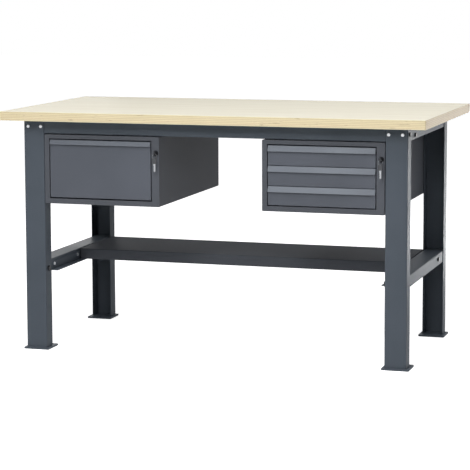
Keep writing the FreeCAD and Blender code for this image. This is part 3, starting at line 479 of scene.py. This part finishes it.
head, height = (high.z - low.z) / 2, (low.z + high.z) / 2
front, back = low.y, high.y
neck_start = front + head_thick
work = bmesh.new()
for across in (low.x + head, high.x - head):
    lathe(work, (across, 0.0, height), [
        (bore, back), (bore, front + dish_depth), (dish, front + dish_rim), (head, front), (head, neck_start),
        (neck, neck_start), (neck, back)])
bmesh.ops.remove_doubles(work, verts=work.verts, dist=1e-6)
bmesh.ops.recalc_face_normals(work, faces=work.faces)
soften(work, rim_round, 3, lambda edge: all(vert.co.y < neck_start + 0.001 for vert in edge.verts))
barrels = keep_mesh("turned_lock_barrels", work)
for polygon in barrels.data.polygons:
    polygon.use_smooth = len(polygon.vertices) == 4 and polygon.area < small_face
barrels.data.materials.append(dark_casting)
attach(barrels, "bench")
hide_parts("lock_barrels")
print("barrel faces:", len(barrels.data.polygons))

# %% [markdown]
# ## Keys
# A key is two pieces made together: a moulded plastic bow, rounded, with an eye for the ring and a dished face,
# and a nickel plated blade with a milled groove and teeth. The bow starts as an outline and an eye that are
# bridged into a flat ring, then pulled to its thickness and dished by an inset. The blade starts as one outline,
# cut along two lines so that the strip between them can sink in as the groove.

# %% Mould the plastic
def plastic(name, dark, light):
    """A dull plastic with a fine speckle."""
    finish, tree, surface = new_finish(name)
    speckle = grain(tree, even, scale=1500.0)
    tree.links.new(shades(tree, speckle, [(0.3, dark), (0.7, light)]), surface.inputs["Base Color"])
    tree.links.new(span(tree, speckle, 0.38, 0.5), surface.inputs["Roughness"])
    relief(tree, surface, speckle, strength=0.15, depth=0.0001)
    return finish


black_plastic = plastic("black_key_plastic", tint(44, 45, 48), tint(58, 59, 63))
print("moulded:", black_plastic.name)

# %% [markdown]
# The bow and the blade are drawn flat and lie in the plane of the first two axes, which keeps their corners easy
# to read. Each helper hands back a finished shape, and only the last step moves it to its lock.

# %% Shape the bow
def thicken(work, thickness):
    """Pull flat faces to a thickness, with their middle left where it was."""
    pulled = bmesh.ops.extrude_face_region(work, geom=work.faces[:])["geom"]
    bmesh.ops.translate(work, verts=[item for item in pulled if isinstance(item, bmesh.types.BMVert)],
                        vec=(0, 0, thickness))
    bmesh.ops.translate(work, verts=work.verts, vec=(0, 0, -thickness / 2))
    bmesh.ops.recalc_face_normals(work, faces=work.faces)


def flat_faces(work):
    """The faces that look up or down."""
    return [face for face in work.faces if abs(face.normal.z) > 0.9]


def on_rim(thickness):
    """A test for the edges that lie in the upper or the lower face."""
    return lambda edge: all(abs(abs(vert.co.z) - thickness / 2) < 1e-6 for vert in edge.verts)


def key_bow(length, half, eye_at, eye, thickness):
    """The bow lies in the plane of its first two axes, with its far end at nought and its neck at length."""
    rim_width, dish_depth, rounding = 0.0011, 0.0003, 0.00035
    work = bmesh.new()
    outline = ((0, -half), (length, -half), (length, half), (0, half))
    corners = [work.verts.new((along, side, 0)) for along, side in outline]
    work.faces.new(corners)
    bmesh.ops.bevel(work, geom=corners, offset=half * 0.6, segments=8, profile=0.5, affect="VERTICES", material=-1)
    bmesh.ops.delete(work, geom=work.faces[:], context="FACES_ONLY")
    bmesh.ops.create_circle(work, cap_ends=False, segments=36, radius=eye, matrix=Matrix.Translation((eye_at, 0, 0)))
    bmesh.ops.bridge_loops(work, edges=work.edges[:])
    thicken(work, thickness)
    bmesh.ops.inset_region(work, faces=flat_faces(work), thickness=rim_width, depth=-dish_depth,
                           use_even_offset=True)
    soften(work, rounding, 2, on_rim(thickness))
    return work


print("bow ready")

# %% [markdown]
# The teeth are written in tenths of the blade's length and in shares of its half width, so that one list serves
# blades of any length. Two cuts along the blade bound the strip that becomes the groove.

# %% Shape the blade
def key_blade(start, end, half, thickness):
    """The blade runs on along the first axis, with its teeth on one side and a groove on both faces."""
    groove_low, groove_high = -0.1 * half, 0.45 * half
    groove_wall, groove_depth, rounding = 0.0002, 0.0004, 0.00012
    step = (end - start) / 10
    teeth = [(0, 1), (2, 1), (2.6, 0.55), (3.4, 0.55), (4, 0.9), (4.6, 0.6), (5.4, 0.6), (6, 0.95), (6.7, 0.5),
             (7.5, 0.5), (8.2, 0.85), (9.2, 0.5)]
    outline = [(start + place * step, -half * depth) for place, depth in teeth]
    outline += [(end, 0), (end - 0.9 * step, half), (start, half)]
    work = bmesh.new()
    work.faces.new([work.verts.new((along, side, 0)) for along, side in outline])
    for side in (groove_low, groove_high):
        bmesh.ops.bisect_plane(work, geom=work.verts[:] + work.edges[:] + work.faces[:], plane_co=(0, side, 0),
                               plane_no=(0, 1, 0))
    thicken(work, thickness)
    strip = [face for face in flat_faces(work) if groove_low < face.calc_center_median().y < groove_high]
    bmesh.ops.inset_individual(work, faces=strip, thickness=groove_wall, depth=-groove_depth)
    soften(work, rounding, 1, on_rim(thickness))
    return work


print("blade ready")

# %% [markdown]
# Two keys sit in their locks and two hang from the rings. All four come from the same helpers; the bow in the lock
# is the shorter one, and a turned set of axes stands each key the right way up.

# %% Cut the four keys
eye, bow_thick = 0.0028, 0.0026
blade_half, blade_thick, blade_root = 0.0035, 0.002, 0.001


def cut_key(name, node, body, length, half, eye_at, blade_end, place):
    """Bow and blade of one key, moved to their place and kept as one piece with two finishes."""
    whole = bmesh.new()
    bow = key_bow(length, half, eye_at, eye, bow_thick)
    blade = key_blade(length - blade_root, blade_end, blade_half, blade_thick)
    for number, work in enumerate((bow, blade)):
        for face in work.faces:
            face.material_index = number
        bmesh.ops.transform(work, matrix=place, verts=work.verts)
        half_way = bpy.data.meshes.new("half_made_key")
        work.to_mesh(half_way)
        work.free()
        whole.from_mesh(half_way)
        bpy.data.meshes.remove(half_way)
    key = keep_mesh(name, whole)
    key.data.materials.append(black_plastic)
    key.data.materials.append(nickel)
    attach(key, body)
    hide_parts(node)
    print(name, len(key.data.polygons), "faces")


turned_bow, turned_eye_at = 0.0165, 0.007
hanging_bow, hanging_eye_at = 0.022, 0.0045
into_lock = Matrix(((0, 0, 1, 0), (1, 0, 0, 0), (0, 1, 0, 0), (0, 0, 0, 1)))
hanging = Matrix(((0, 1, 0, 0), (0, 0, 1, 0), (-1, 0, 0, 0), (0, 0, 0, 1)))
for side in ("left", "right"):
    low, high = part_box(f"{side}_key")
    middle = (low + high) / 2
    cut_key(f"{side}_turned_key", f"{side}_key", f"{side}_lock", turned_bow, (high.z - low.z) / 2, turned_eye_at,
            high.y - low.y, Matrix.Translation((middle.x, low.y, middle.z)) @ into_lock)
    low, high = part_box(f"{side}_spare_key")
    middle = (low + high) / 2
    cut_key(f"{side}_hanging_key", f"{side}_spare_key", f"{side}_spare", hanging_bow, (high.x - low.x) / 2,
            hanging_eye_at, high.z - low.z, Matrix.Translation((middle.x, middle.y, high.z)) @ hanging)
